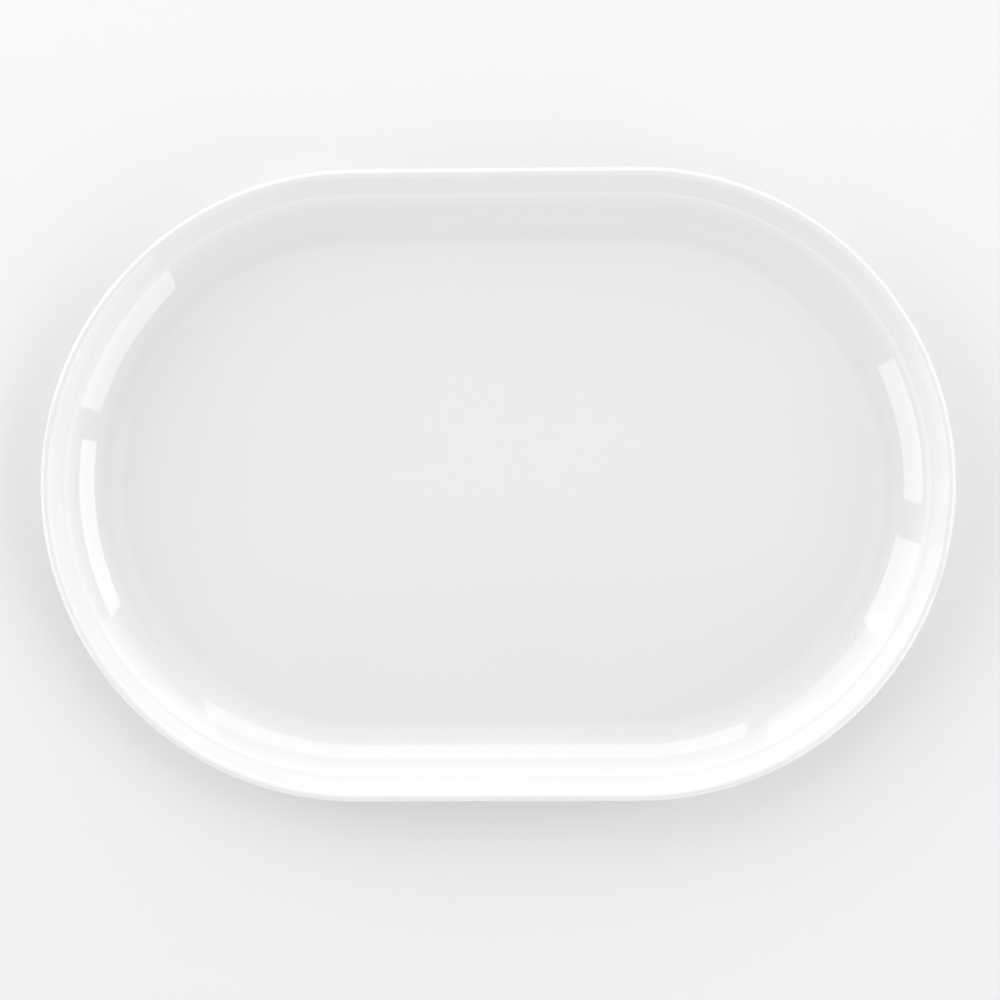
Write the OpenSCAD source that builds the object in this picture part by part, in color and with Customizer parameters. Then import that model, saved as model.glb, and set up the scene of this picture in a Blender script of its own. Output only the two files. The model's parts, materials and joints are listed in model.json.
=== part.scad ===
// Oval serving platter in glazed white porcelain.
// The plan is a rectangle with a half circle at each end. One section is carried round that plan:
// a flat well, a large curve up into a leaning wall, a rounded lip and a foot ring underneath.
// X is the long way, Z is up, and the origin is under the middle, on the table.

/* [Overall size, over the glaze] */
// Length from end to end
platter_l = 360; // [280:1:420]
// Width across the middle
platter_w = 249; // [220:1:270]
// Height from the table to the top of the lip
platter_h = 26; // [22:0.5:34]

/* [Well and wall] */
// Thickness of the base under the well
base_t = 4.5; // [3.5:0.1:6]
// Thickness of the wall, square to its face
wall_t = 3.8; // [3:0.1:5]
// How far the wall leans out for each millimetre that it rises
wall_lean = 0.5; // [0.3:0.05:1]
// Radius of the curve from the well up into the wall
well_r = 27.5; // [15:0.5:40]
// Radius of the curve from the underside up into the outside of the wall
heel_r = 30; // [15:0.5:40]
// Radius of the roll from the inside of the wall onto the lip
lip_in_r = 1; // [0.6:0.1:2.5]
// Radius of the outer edge of the lip
lip_out_r = 1.8; // [0.6:0.1:2]
// How far the top of the lip falls for each millimetre in towards the well
lip_fall = 0.38; // [0:0.02:0.5]

/* [Foot ring] */
// Height of the foot ring under the base
foot_h = 3; // [2:0.1:5]
// Width of the foot ring's face on the table
foot_w = 5; // [3:0.1:8]
// How far each side of the foot ring spreads for each millimetre up from the table
foot_draft = 0.25; // [0:0.05:0.5]
// Radius of the curve from the foot ring's sides into the underside
foot_root_r = 2; // [0.5:0.1:3]
// Radius of the two edges of the foot ring's face
foot_edge_r = 0.8; // [0.3:0.1:1]
// Flat left on the underside between the foot ring and the curve up into the wall
foot_step = 1; // [0:0.5:10]

/* [Glaze] */
// Thickness of the glaze
glaze_t = 0.3; // [0.2:0.05:0.5]
// Height above the table up to which the foot ring is wiped bare
bare_h = 1; // [0.6:0.1:1.5]

/* [Hidden] */
$fn = 96;

body_colour = [0.93, 0.91, 0.87];
glaze_colour = [0.95, 0.95, 0.96];

// The plan's half circles and the straight between them
end_r = platter_w / 2;
straight_l = platter_l - platter_w;

// Levels of the section
base_z = foot_h;
well_z = foot_h + base_t;

// The wall's slope
wall_hyp = sqrt(1 + wall_lean * wall_lean);
wall_sin = 1 / wall_hyp;
wall_cos = wall_lean / wall_hyp;
up_wall = [wall_cos, wall_sin];
outward = [1, 0];

// The slope of the lip's top, and its outer edge, no larger than the wall has room for
along_lip = unit([1, lip_fall]);
lip_turn = up_wall * along_lip;
lip_edge_r = min(lip_out_r, (wall_t - lip_in_r * (1 - lip_turn)) / (1 + lip_turn));
lip_middle = [end_r - lip_edge_r, platter_h - lip_edge_r];

// The two large curves, each no larger than its side of the wall has room for
roll_low = lip_corner(wall_t, 0) - up_wall * touch_l(along_lip, -up_wall, lip_in_r);
well_curve_r = min(well_r, (roll_low[1] - well_z) / (1 - wall_cos));
heel_room = platter_h - base_z - lip_edge_r * (1 + wall_cos);
heel_curve_r = min(heel_r, heel_room / (1 - wall_cos));

// The foot ring's sides, whose curves stay above and below the line where the glaze ends
foot_slant = sqrt(1 + foot_draft * foot_draft);
root_r = min(foot_root_r, foot_h - bare_h);
edge_r = min(foot_edge_r, bare_h);

// The middle of the foot ring, from the middle of the plan's half circle
heel_start = wall_at(base_z, 0) - touch_l(-outward, up_wall, heel_curve_r);
root_l = touch_l(outward, -up_side(1), root_r);
foot_at = heel_start - foot_step - root_l - foot_h * foot_draft - foot_w / 2;

// How far a cut runs past the material that it cuts
over = 1;
// How far a rounding laps the flats beside it, so that they always meet
lap = 0.002;
// Share by which the waste cut off a corner reaches past it
waste_reach = 1.3;

// Distance out to the face that lies this deep under the outside of the wall, at height z
function wall_at(z, deep) =
    lip_middle[0] + (lip_edge_r - deep + wall_cos * (z - lip_middle[1])) / wall_sin;

// Where a face this far in through the wall meets the face this deep under the lip's top
function lip_corner(in_wall, deep) =
    let (cross = wall_sin * along_lip[0] - wall_cos * along_lip[1])
    lip_middle + ((lip_edge_r - in_wall) * along_lip + (lip_edge_r - deep) * up_wall) / cross;

// Direction up the foot ring's outer side, side 1, or its inner side, side -1
function up_side(side) = [side * foot_draft, 1] / foot_slant;

function unit(v) = v / norm(v);

// Half the angle of a corner whose sides leave it along side_a and side_b
function half_corner(side_a, side_b) = acos(side_a * side_b) / 2;

// Distance from a corner to where a rounding of radius r meets its sides
function touch_l(side_a, side_b, r) = r / tan(half_corner(side_a, side_b));

// What a rounding of radius r takes off a corner whose sides leave it along side_a and side_b
module corner_waste(corner, side_a, side_b, r) {
    centre = corner + unit(side_a + side_b) * r / sin(half_corner(side_a, side_b));
    touch_a = corner + side_a * touch_l(side_a, side_b, r);
    touch_b = corner + side_b * touch_l(side_a, side_b, r);
    difference() {
        polygon([
            centre,
            centre + (touch_a - centre) * waste_reach,
            centre + (corner - centre) * waste_reach,
            centre + (touch_b - centre) * waste_reach
        ]);
        translate(centre) circle(r + lap);
    }
}

// The hollow of the dish, with its faces this deep under the glaze
module well_hollow(deep) {
    low = well_z - deep;
    high = platter_h + over;
    foot_of_wall = [wall_at(low, wall_t - deep), low];
    difference() {
        polygon([
            [-over, low],
            foot_of_wall,
            [wall_at(high, wall_t - deep), high],
            [-over, high]
        ]);
        corner_waste(foot_of_wall, -outward, up_wall, well_curve_r + deep);
    }
}

// The dish without its foot ring, with its faces this deep under the glaze
module dish_section(deep) {
    low = base_z + deep;
    high = platter_h - deep;
    heel = [wall_at(low, deep), low];
    lip_outside = lip_corner(deep, deep);
    lip_inside = lip_corner(wall_t - deep, deep);
    difference() {
        polygon([[0, low], heel, lip_outside, lip_inside - along_lip * over, [0, high]]);
        corner_waste(heel, -outward, up_wall, heel_curve_r - deep);
        corner_waste(lip_outside, -along_lip, -up_wall, lip_edge_r - deep);
        corner_waste(lip_inside, along_lip, -up_wall, lip_in_r - deep);
        well_hollow(deep);
    }
}

// The foot ring, with its sides this deep under the glaze and its bare face on the table
module foot_section(deep) {
    root_z = base_z + deep;
    high = base_z + base_t / 2;
    half_low = foot_w / 2 - deep * foot_slant;
    half_root = half_low + root_z * foot_draft;
    half_high = half_low + high * foot_draft;
    translate([foot_at, 0]) {
        difference() {
            polygon([[-half_low, 0], [half_low, 0], [half_high, high], [-half_high, high]]);
            for (side = [-1, 1])
                corner_waste([side * half_low, 0], -side * outward, up_side(side), edge_r);
        }
        for (side = [-1, 1])
            corner_waste([side * half_root, root_z], side * outward, -up_side(side), root_r + deep);
    }
}

// The whole platter, with its faces this deep under the glaze
module section(deep) {
    dish_section(deep);
    foot_section(deep);
}

// All the glaze, down to where the foot ring is wiped
module glaze_section() {
    difference() {
        section(0);
        section(glaze_t);
        translate([-over, -over]) square([end_r, over + bare_h]);
    }
}

// What lies under the dish and inside the foot ring
module recess() {
    translate([-over, -over]) square([over + foot_at, over + base_z + base_t / 2]);
}

// A section carried round the plan
module carried_round() {
    for (end = [0, 180])
        rotate([0, 0, end]) translate([straight_l / 2, 0, 0])
            rotate([0, 0, -90]) rotate_extrude(angle = 180) children();
    for (side = [0, 180])
        rotate([0, 0, side]) translate([-straight_l / 2, 0, 0])
            rotate([90, 0, 90]) linear_extrude(straight_l) children();
}

module body() {
    color(body_colour) carried_round() section(glaze_t);
}

module upper_glaze() {
    color(glaze_colour) carried_round() difference() {
        glaze_section();
        recess();
    }
}

module underside_glaze() {
    color(glaze_colour) carried_round() intersection() {
        glaze_section();
        recess();
    }
}

body();
upper_glaze();
underside_glaze();
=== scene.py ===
"""Oval serving platter in glossy white porcelain, seen from straight above on a pale table.

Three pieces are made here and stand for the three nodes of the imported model: the porcelain body, the
sheet of glaze over the top and outside, and the sheet of glaze in the recess inside the foot ring.
Each is a section carried round the same plan, a rectangle with a half circle at each end.
Lengths are in metres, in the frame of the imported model: X is the long way, Z is up.
"""

import json
import math

import bmesh
import bpy
import numpy as np
from mathutils import Matrix, Vector, noise


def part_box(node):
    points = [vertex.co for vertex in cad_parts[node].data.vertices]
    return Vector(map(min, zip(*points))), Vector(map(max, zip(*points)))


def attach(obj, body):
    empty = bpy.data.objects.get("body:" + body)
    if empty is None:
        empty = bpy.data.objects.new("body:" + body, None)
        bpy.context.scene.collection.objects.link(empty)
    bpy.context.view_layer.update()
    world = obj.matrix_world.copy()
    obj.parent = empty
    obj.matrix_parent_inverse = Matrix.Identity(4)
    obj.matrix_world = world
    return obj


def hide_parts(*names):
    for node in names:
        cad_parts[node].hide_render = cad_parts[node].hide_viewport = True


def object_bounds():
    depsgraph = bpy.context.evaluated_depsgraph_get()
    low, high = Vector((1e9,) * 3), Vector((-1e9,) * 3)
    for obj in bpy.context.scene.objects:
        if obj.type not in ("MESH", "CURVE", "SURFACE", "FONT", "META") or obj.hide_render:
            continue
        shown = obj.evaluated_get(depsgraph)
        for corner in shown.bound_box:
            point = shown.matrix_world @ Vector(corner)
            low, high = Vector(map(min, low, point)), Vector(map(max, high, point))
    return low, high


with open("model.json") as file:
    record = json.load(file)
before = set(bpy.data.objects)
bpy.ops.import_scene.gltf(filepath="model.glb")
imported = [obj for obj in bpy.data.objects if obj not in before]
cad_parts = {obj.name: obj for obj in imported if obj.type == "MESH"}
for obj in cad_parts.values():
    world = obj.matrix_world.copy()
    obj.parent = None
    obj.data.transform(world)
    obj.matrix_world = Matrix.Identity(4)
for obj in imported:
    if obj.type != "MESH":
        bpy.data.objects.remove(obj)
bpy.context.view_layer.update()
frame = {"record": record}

MM = 0.001

# Overall sizes and levels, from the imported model
mounts = {mount["name"]: mount["pos_m"] for mount in frame["record"]["mounts"]}
box_low, box_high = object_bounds()
END_R = (box_high[1] - box_low[1]) / 2
STRAIGHT_L = (box_high[0] - box_low[0]) - 2 * END_R
HEIGHT = box_high[2]
WELL_Z = mounts["well"][2]
FOOT_AT = -mounts["foot"][1]
GLAZE_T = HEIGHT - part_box("body")[1].z
BARE_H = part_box("upper_glaze")[0].z
BASE_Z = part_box("underside_glaze")[1].z - GLAZE_T

# The wall: its thickness, its curves, and how far it leans out for each unit that it rises
WALL_T = 3.8 * MM
WELL_R = 27.5 * MM
HEEL_R = 30 * MM
WALL_LEAN = 0.5
UP_WALL = Vector((WALL_LEAN, 1)).normalized()

# The lip: its curves, how far its top falls for each unit in towards the well, and its outer edge's middle
LIP_IN_R = 1.0 * MM
LIP_OUT_R = 1.8 * MM
LIP_FALL = 0.38
ALONG_LIP = Vector((1, LIP_FALL)).normalized()
LIP_MIDDLE = Vector((END_R - LIP_OUT_R, HEIGHT - LIP_OUT_R))

# The foot ring
FOOT_W = 5 * MM
FOOT_DRAFT = 0.25
FOOT_ROOT_R = 2 * MM
FOOT_EDGE_R = 0.8 * MM

# The glaze: its rounded edge at the foot ring, and how far it lies uneven
BEAD_R = 0.14 * MM
RIPPLE_DEPTH = 0.06 * MM
RIPPLES_PER_M = 36
WIPE_WAVE = 0.25 * MM
WIPE_WAVES_PER_M = 90
WIPE_FADE = 1.2 * MM

# Colours
GLAZE_WHITE = (0.84, 0.837, 0.856, 1)
GLAZE_CLOUD = (0.835, 0.831, 0.849, 1)
GLAZE_POOLED = (0.83, 0.828, 0.848, 1)
GLAZE_THIN = (0.858, 0.855, 0.85, 1)
GLAZE_SPECK = (0.62, 0.58, 0.52, 1)
CLAY_WHITE = (0.78, 0.75, 0.69, 1)
CLAY_GRAIN = (0.71, 0.67, 0.60, 1)
CLAY_RUBBED = (0.50, 0.48, 0.45, 1)
TABLE_WHITE = (0.86, 0.859, 0.867, 1)
ROOM_WHITE = (1, 1, 1, 1)

# How finely the shapes are drawn
ARC_COLUMNS = 112
STRAIGHT_COLUMNS = 28
FLAT_STEP = 4 * MM
ARC_STEP = 0.8 * MM
ARC_TURN = math.radians(7)


# Objects

def add_object(name, data):
    """A new object in the scene that shows a mesh, a light or a camera."""
    added = bpy.data.objects.new(name, data)
    bpy.context.scene.collection.objects.link(added)
    return added


def standing(place, side, up, back):
    """Transform to a place, with an object's own X, Y and Z along the three directions."""
    return Matrix.Translation(place) @ Matrix((side, up, back)).transposed().to_4x4()


# Section

def wall_at(z, deep):
    """Distance out to the face that lies this deep under the outside of the wall, at height z."""
    return LIP_MIDDLE.x + (LIP_OUT_R - deep + UP_WALL.x * (z - LIP_MIDDLE.y)) / UP_WALL.y


def lip_corner(in_wall, deep):
    """Where a face this far in through the wall meets the face this deep under the lip's top."""
    reach = (LIP_OUT_R - in_wall) * ALONG_LIP + (LIP_OUT_R - deep) * UP_WALL
    return LIP_MIDDLE + reach / ALONG_LIP.cross(UP_WALL)


def foot_side(z, side, deep):
    """Distance out to the outer side, side 1, or inner side, side -1, of the foot ring at height z."""
    half_low = FOOT_W / 2 - deep * math.hypot(1, FOOT_DRAFT)
    return FOOT_AT + side * (half_low + z * FOOT_DRAFT)


def dish_corners(deep):
    """Corners (r, z, radius) from the middle of the well over the lip down to the foot ring's root."""
    well = WELL_Z - deep
    base = BASE_Z + deep
    return [
        (0, well, 0),
        (wall_at(well, WALL_T - deep), well, WELL_R + deep),
        (*lip_corner(WALL_T - deep, deep), LIP_IN_R - deep),
        (*lip_corner(deep, deep), LIP_OUT_R - deep),
        (wall_at(base, deep), base, HEEL_R - deep),
        (foot_side(base, 1, deep), base, FOOT_ROOT_R + deep),
    ]


def recess_corners(deep):
    """Corners from the foot ring's inner root to the middle of the underside."""
    base = BASE_Z + deep
    return [(foot_side(base, -1, deep), base, FOOT_ROOT_R + deep), (0, base, 0)]


def glaze_end(side):
    """Corners of the glaze's wiped edge on one side of the foot ring, from its face to the clay."""
    return [(foot_side(BARE_H, side, deep), BARE_H, BEAD_R) for deep in (0, GLAZE_T)]


def arc_points(before, corner, after):
    """Points of the rounding at a corner, from the side it is reached on to the side it is left on."""
    here = Vector(corner[:2])
    back = (Vector(before[:2]) - here).normalized()
    on = (Vector(after[:2]) - here).normalized()
    radius = corner[2]
    half = back.angle(on) / 2
    centre = here + (back + on).normalized() * radius / math.sin(half)
    first = here + back * radius / math.tan(half) - centre
    turn = math.pi - 2 * half
    if back.cross(on) > 0:
        turn = -turn
    steps = math.ceil(max(abs(turn) / ARC_TURN, abs(turn) * radius / ARC_STEP))
    turned = [turn * i / steps for i in range(steps + 1)]
    return [centre + Matrix.Rotation(angle, 2) @ first for angle in turned]


def rounded(corners):
    """Points along the line through the corners, with each radius as an arc and no long gaps."""
    line = [Vector(corners[0][:2])]
    for before, corner, after in zip(corners, corners[1:], corners[2:]):
        line += arc_points(before, corner, after) if corner[2] > 0 else [Vector(corner[:2])]
    line.append(Vector(corners[-1][:2]))
    points = [line[0]]
    for start, end in zip(line, line[1:]):
        steps = max(1, math.ceil((end - start).length / FLAT_STEP))
        points += [start.lerp(end, i / steps) for i in range(1, steps + 1)]
    return points


# Sweep

def plan_columns():
    """Pairs of a point on the plan's middle line and the direction out from it, once round the plan."""
    half = STRAIGHT_L / 2
    columns = []
    for side in (1, -1):
        for i in range(ARC_COLUMNS):
            angle = math.pi * i / ARC_COLUMNS - math.pi / 2
            out = Vector((side * math.cos(angle), side * math.sin(angle)))
            columns.append((Vector((side * half, 0)), out))
        for i in range(STRAIGHT_COLUMNS):
            x = side * (half - STRAIGHT_L * i / STRAIGHT_COLUMNS)
            columns.append((Vector((x, 0)), Vector((0, side))))
    return columns


def sweep(name, section):
    """Closed mesh of a section that starts and ends on the plan's middle line, carried round the plan."""
    columns = plan_columns()
    base = np.array([column[0] for column in columns])
    out = np.array([column[1] for column in columns])
    r = np.array([point.x for point in section])
    z = np.array([point.y for point in section])
    points = np.empty((len(columns), len(section), 3))
    points[:, :, :2] = base[:, None, :] + out[:, None, :] * r[None, :, None]
    points[:, :, 2] = z
    rings = len(section)
    faces = []
    for column in range(len(columns)):
        here = column * rings
        there = (column + 1) % len(columns) * rings
        faces += [(here + i, there + i, there + i + 1, here + i + 1) for i in range(rings - 1)]
    mesh = bpy.data.meshes.new(name)
    mesh.from_pydata(points.reshape(-1, 3).tolist(), [], faces)
    close_middle(mesh)
    mesh.shade_smooth()
    return add_object(name, mesh)


def close_middle(mesh):
    """Joins the points that meet on the plan's middle line, and turns the faces outward."""
    same_place = 0.001 * MM
    shape = bmesh.new()
    shape.from_mesh(mesh)
    reach = STRAIGHT_L / 2 + same_place
    middle = [v for v in shape.verts if abs(v.co.y) < same_place and abs(v.co.x) <= reach]
    bmesh.ops.remove_doubles(shape, verts=middle, dist=same_place)
    bmesh.ops.recalc_face_normals(shape, faces=shape.faces)
    shape.to_mesh(mesh)
    shape.free()


def lumps(place, per_m):
    """Smooth noise from 0 to 1, with about this many lumps to a metre."""
    return 0.5 + 0.5 * noise.noise(place * per_m)


def make_uneven(piece):
    """Sinks the glaze here and there, and lets its wiped edge at the foot ring wander up a little."""
    points = piece.data.vertices
    outward = [point.normal.copy() for point in points]
    for point, normal in zip(points, outward):
        ripple = lumps(point.co, RIPPLES_PER_M)
        wave = lumps(point.co, WIPE_WAVES_PER_M)
        at_edge = max(0, 1 - (point.co.z - BARE_H) / WIPE_FADE)
        point.co -= normal * RIPPLE_DEPTH * ripple
        point.co.z += WIPE_WAVE * wave * at_edge


# Material nodes

def add_node(tree, kind, inputs, **settings):
    """Adds a shader node. Each input is a value, or an output of another node that is linked to it."""
    node = tree.nodes.new("ShaderNode" + kind)
    for name, value in settings.items():
        setattr(node, name, value)
    for name, value in inputs.items():
        if isinstance(value, bpy.types.NodeSocket):
            tree.links.new(value, node.inputs[name])
        else:
            node.inputs[name].default_value = value
    return node


def grain(tree, place, per_m, detail=2):
    """Soft noise with about this many lumps to a metre."""
    inputs = {"Vector": place, "Scale": per_m, "Detail": detail}
    return add_node(tree, "TexNoise", inputs).outputs["Fac"]


def step(tree, value, start, end, low=0, high=1):
    """Goes softly from low to high as a value goes from start to end."""
    inputs = {"Value": value, "From Min": start, "From Max": end, "To Min": low, "To Max": high}
    return add_node(tree, "MapRange", inputs, interpolation_type="SMOOTHSTEP").outputs["Result"]


def tinted(tree, amount, base, tint):
    """The base colour, taken towards a tint by an amount."""
    inputs = {"Fac": amount, "Color1": base, "Color2": tint}
    return add_node(tree, "MixRGB", inputs).outputs["Color"]


def worked_out(tree, operation, first, second):
    """One number from two."""
    return add_node(tree, "Math", {0: first, 1: second}, operation=operation).outputs["Value"]


def height_of(tree, place):
    """The Z of a place or of a direction."""
    return add_node(tree, "SeparateXYZ", {"Vector": place}).outputs["Z"]


def add_relief(tree, shader, height, depth):
    """Fine relief of this depth on a surface."""
    bump = add_node(tree, "Bump", {"Height": height, "Distance": depth})
    tree.links.new(bump.outputs["Normal"], shader.inputs["Normal"])


def place_on_piece(tree):
    """The place on a piece, in metres."""
    return add_node(tree, "TexCoord", {}).outputs["Object"]


def new_material(name):
    """A node material and its surface shader."""
    material = bpy.data.materials.new(name)
    material.use_nodes = True
    return material, material.node_tree.nodes["Principled BSDF"]


# Materials

def pinholes(tree, place):
    """A few tiny specks, where bubbles broke in the kiln. Their radii are shares of a cell."""
    cells_per_m = 70
    chance = 0.05
    edge_r = 0.028
    core_r = 0.014
    cells = add_node(tree, "TexVoronoi", {"Vector": place, "Scale": cells_per_m})
    spot = step(tree, cells.outputs["Distance"], edge_r, core_r)
    drawn = add_node(tree, "SeparateColor", {"Color": cells.outputs["Color"]}).outputs["Red"]
    return worked_out(tree, "MULTIPLY", spot, worked_out(tree, "LESS_THAN", drawn, chance))


def glaze_colour(tree, place, specks):
    """White with faint clouds, cooler where it pools in the curves, warmer where it is thin on the lip."""
    clouds_per_m = 12
    cloud_limits = (0.35, 0.7)
    drifts_per_m = 60
    drift_h = 1.0 * MM
    thins_between = (HEIGHT - 1.5 * MM, HEIGHT + 0.8 * MM)
    pool_begins_between = (WELL_Z + 0.2 * MM, WELL_Z + 2 * MM)
    pool_ends_between = (WELL_Z + 9 * MM, WELL_Z + 3 * MM)

    z = height_of(tree, place)
    clouds = step(tree, grain(tree, place, clouds_per_m), *cloud_limits)
    drift = worked_out(tree, "MULTIPLY", grain(tree, place, drifts_per_m), drift_h)
    thin = step(tree, worked_out(tree, "ADD", z, drift), *thins_between)
    over_well = step(tree, z, *pool_begins_between)
    under_wall = step(tree, z, *pool_ends_between)
    pooled = worked_out(tree, "MULTIPLY", over_well, under_wall)
    colour = tinted(tree, clouds, GLAZE_WHITE, GLAZE_CLOUD)
    colour = tinted(tree, pooled, colour, GLAZE_POOLED)
    colour = tinted(tree, thin, colour, GLAZE_THIN)
    return tinted(tree, specks, colour, GLAZE_SPECK)


def glaze_material():
    """Glossy white glaze with a very faint orange peel."""
    ior = 1.7
    patches_per_m = 45
    patch_limits = (0.3, 0.75)
    roughness_limits = (0.02, 0.055)
    peel_per_m = 190
    peel_depth = 0.012 * MM

    material, shader = new_material("white_glaze")
    tree = material.node_tree
    place = place_on_piece(tree)
    specks = pinholes(tree, place)
    tree.links.new(glaze_colour(tree, place, specks), shader.inputs["Base Color"])
    patches = grain(tree, place, patches_per_m, detail=4)
    polish = step(tree, patches, *patch_limits, *roughness_limits)
    tree.links.new(polish, shader.inputs["Roughness"])
    shader.inputs["IOR"].default_value = ior
    peel = grain(tree, place, peel_per_m)
    add_relief(tree, shader, worked_out(tree, "SUBTRACT", peel, specks), peel_depth)
    return material


def porcelain_material():
    """Bare fired clay: warm, matte and fine grained, greyed in patches where it rubs on tables."""
    ior = 1.5
    grains_per_m = 2600
    grain_limits = (0.45, 0.7)
    grain_depth = 0.03 * MM
    rubs_between = (0.5 * MM, 0.05 * MM)
    most_rubbed = 0.7
    patches_per_m = 140
    patch_limits = (0.48, 0.72)
    smooth_when_rubbed = 0.6
    roughness_limits = (0.72, 0.5)

    material, shader = new_material("bare_porcelain")
    tree = material.node_tree
    place = place_on_piece(tree)
    fine = grain(tree, place, grains_per_m, detail=3)
    low = step(tree, height_of(tree, place), *rubs_between, 0, most_rubbed)
    patches = step(tree, grain(tree, place, patches_per_m, detail=5), *patch_limits)
    rubbed = worked_out(tree, "MULTIPLY", low, patches)
    colour = tinted(tree, step(tree, fine, *grain_limits), CLAY_WHITE, CLAY_GRAIN)
    tree.links.new(tinted(tree, rubbed, colour, CLAY_RUBBED), shader.inputs["Base Color"])
    roughness = step(tree, rubbed, 0, smooth_when_rubbed, *roughness_limits)
    tree.links.new(roughness, shader.inputs["Roughness"])
    shader.inputs["IOR"].default_value = ior
    add_relief(tree, shader, fine, grain_depth)
    return material


# Pieces

def make_body():
    """The porcelain, from the middle of the well round to the middle of the underside."""
    bottom = [(foot_side(0, side, GLAZE_T), 0, FOOT_EDGE_R) for side in (1, -1)]
    return sweep("porcelain_body", rounded(dish_corners(GLAZE_T) + bottom + recess_corners(GLAZE_T)))


def make_upper_glaze():
    """The sheet over the well, the wall, the lip and the outside, down to the foot ring."""
    clay_side = dish_corners(GLAZE_T)[::-1]
    sheet = sweep("upper_glaze_sheet", rounded(dish_corners(0) + glaze_end(1) + clay_side))
    make_uneven(sheet)
    return sheet


def make_underside_glaze():
    """The sheet in the recess inside the foot ring."""
    face = recess_corners(0)[::-1]
    sheet = sweep("underside_glaze_sheet", rounded(face + glaze_end(-1) + recess_corners(GLAZE_T)))
    make_uneven(sheet)
    return sheet


def add_piece(piece, node, material):
    """Gives a piece its material, attaches it to the root body, and hides the imported node that it stands
    for.
    """
    piece.data.materials.append(material)
    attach(piece, "root")
    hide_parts(node)


glaze = glaze_material()
add_piece(make_body(), "body", porcelain_material())
add_piece(make_upper_glaze(), "upper_glaze", glaze)
add_piece(make_underside_glaze(), "underside_glaze", glaze)


# Table, light and camera

def add_table():
    """A wide and plain pale table under the platter."""
    half = 8.0
    roughness = 0.8
    corners = [(-half, -half, 0), (half, -half, 0), (half, half, 0), (-half, half, 0)]
    mesh = bpy.data.meshes.new("table")
    mesh.from_pydata(corners, [], [(0, 1, 2, 3)])
    table = add_object("table", mesh)
    material, shader = new_material("table_top")
    shader.inputs["Base Color"].default_value = TABLE_WHITE
    shader.inputs["Roughness"].default_value = roughness
    mesh.materials.append(material)


def add_softbox(name, bearing, reach, heights, level, distance=1.4):
    """An upright soft light that faces the platter from a bearing, in degrees round from +X.

    reach says where its ends lie to the right of the bearing, below 0, and to the left, as seen from
    the platter. heights are its bottom and its top, and level is how bright its face is.
    """
    turn = math.radians(bearing)
    out = Vector((math.cos(turn), math.sin(turn), 0))
    up = Vector((0, 0, 1))
    along = up.cross(out)
    light = bpy.data.lights.new(name, "AREA")
    light.shape = "RECTANGLE"
    light.size = reach[1] - reach[0]
    light.size_y = heights[1] - heights[0]
    light.energy = level * math.pi * light.size * light.size_y
    place = out * distance + along * sum(reach) / 2 + up * sum(heights) / 2
    softbox = add_object(name, light)
    softbox.matrix_world = standing(place, along, up, out)
    softbox.visible_camera = False


def sine(degrees):
    """Height of a direction that rises by this angle, for a length of 1."""
    return math.sin(math.radians(degrees))


def pale_ceiling(tree, away):
    """A soft strip of pale ceiling, from just in front of overhead back to above the back softbox."""
    level = 0.34
    side_limits = (0.23, 0.14)
    front_limits = (-0.11, 0)
    low_limits = (sine(52), sine(66))

    direction = add_node(tree, "SeparateXYZ", {"Vector": away}).outputs
    across = worked_out(tree, "ABSOLUTE", direction["X"], 0)
    in_strip = step(tree, across, *side_limits)
    behind = step(tree, direction["Y"], *front_limits)
    high = step(tree, direction["Z"], *low_limits, 0, level)
    return worked_out(tree, "MULTIPLY", worked_out(tree, "MULTIPLY", in_strip, behind), high)


def add_surroundings():
    """A room with a pale strip of ceiling that gets paler down to the table, and is dimmer below it.

    Each row of changes has the two heights in degrees that a change goes on between, and its amount.
    """
    changes = ((74, 60, 0.49), (55, 28, 0.19), (28, 14, 0.32), (10.5, 8.5, 0.53), (0, -2, -1.05))
    world = bpy.data.worlds.new("studio")
    bpy.context.scene.world = world
    world.use_nodes = True
    tree = world.node_tree
    away = add_node(tree, "TexCoord", {}).outputs["Generated"]
    rise = height_of(tree, away)
    strength = pale_ceiling(tree, away)
    for top, bottom, amount in changes:
        more = step(tree, rise, sine(top), sine(bottom), 0, amount)
        strength = worked_out(tree, "ADD", more, strength)
    background = tree.nodes["Background"]
    background.inputs["Color"].default_value = ROOM_WHITE
    tree.links.new(strength, background.inputs["Strength"])


def add_camera():
    """A camera that looks down from a little to the right of the platter's middle and in front of it."""
    camera = bpy.data.cameras.new("camera")
    camera.sensor_width = 36
    camera.lens = 57.5
    seen_from = Vector((15.9, -9.4, 652.1)) * MM
    look = Vector((-0.0225, 0.0052, -0.9997))
    up = Vector((0.0058, 1.0, 0.0051))
    side = look.cross(up).normalized()
    up = side.cross(look).normalized()
    holder = add_object("camera", camera)
    holder.matrix_world = standing(seen_from, side, up, -look.normalized())
    bpy.context.scene.camera = holder


add_table()
add_softbox("back_softbox", 90, reach=(-0.66, 0.42), heights=(1.1, 2.45), level=1.41)
add_softbox("low_back_softbox", 90, reach=(-0.5, 0.45), heights=(0.01, 0.58), level=0.395, distance=0.7)
add_softbox("left_front_window", 190, reach=(-0.39, 0.44), heights=(0.52, 1.86), level=1.6)
add_softbox("left_back_window", 156, reach=(-0.32, 0.235), heights=(0.29, 2.2), level=1.72)
add_softbox("right_window", 10, reach=(-0.53, 0.59), heights=(0.9, 2.2), level=2.15)
add_softbox("right_front_window", -35, reach=(-0.52, 0.42), heights=(0.35, 1.75), level=1.55)
add_softbox("left_board", 135, reach=(-0.6, 0.3), heights=(0, 1.6), level=0.9)
add_softbox("right_board", 45, reach=(-0.3, 0.6), heights=(0, 1.2), level=0.46)
add_surroundings()
add_camera()
bpy.context.scene.view_settings.view_transform = "Standard"
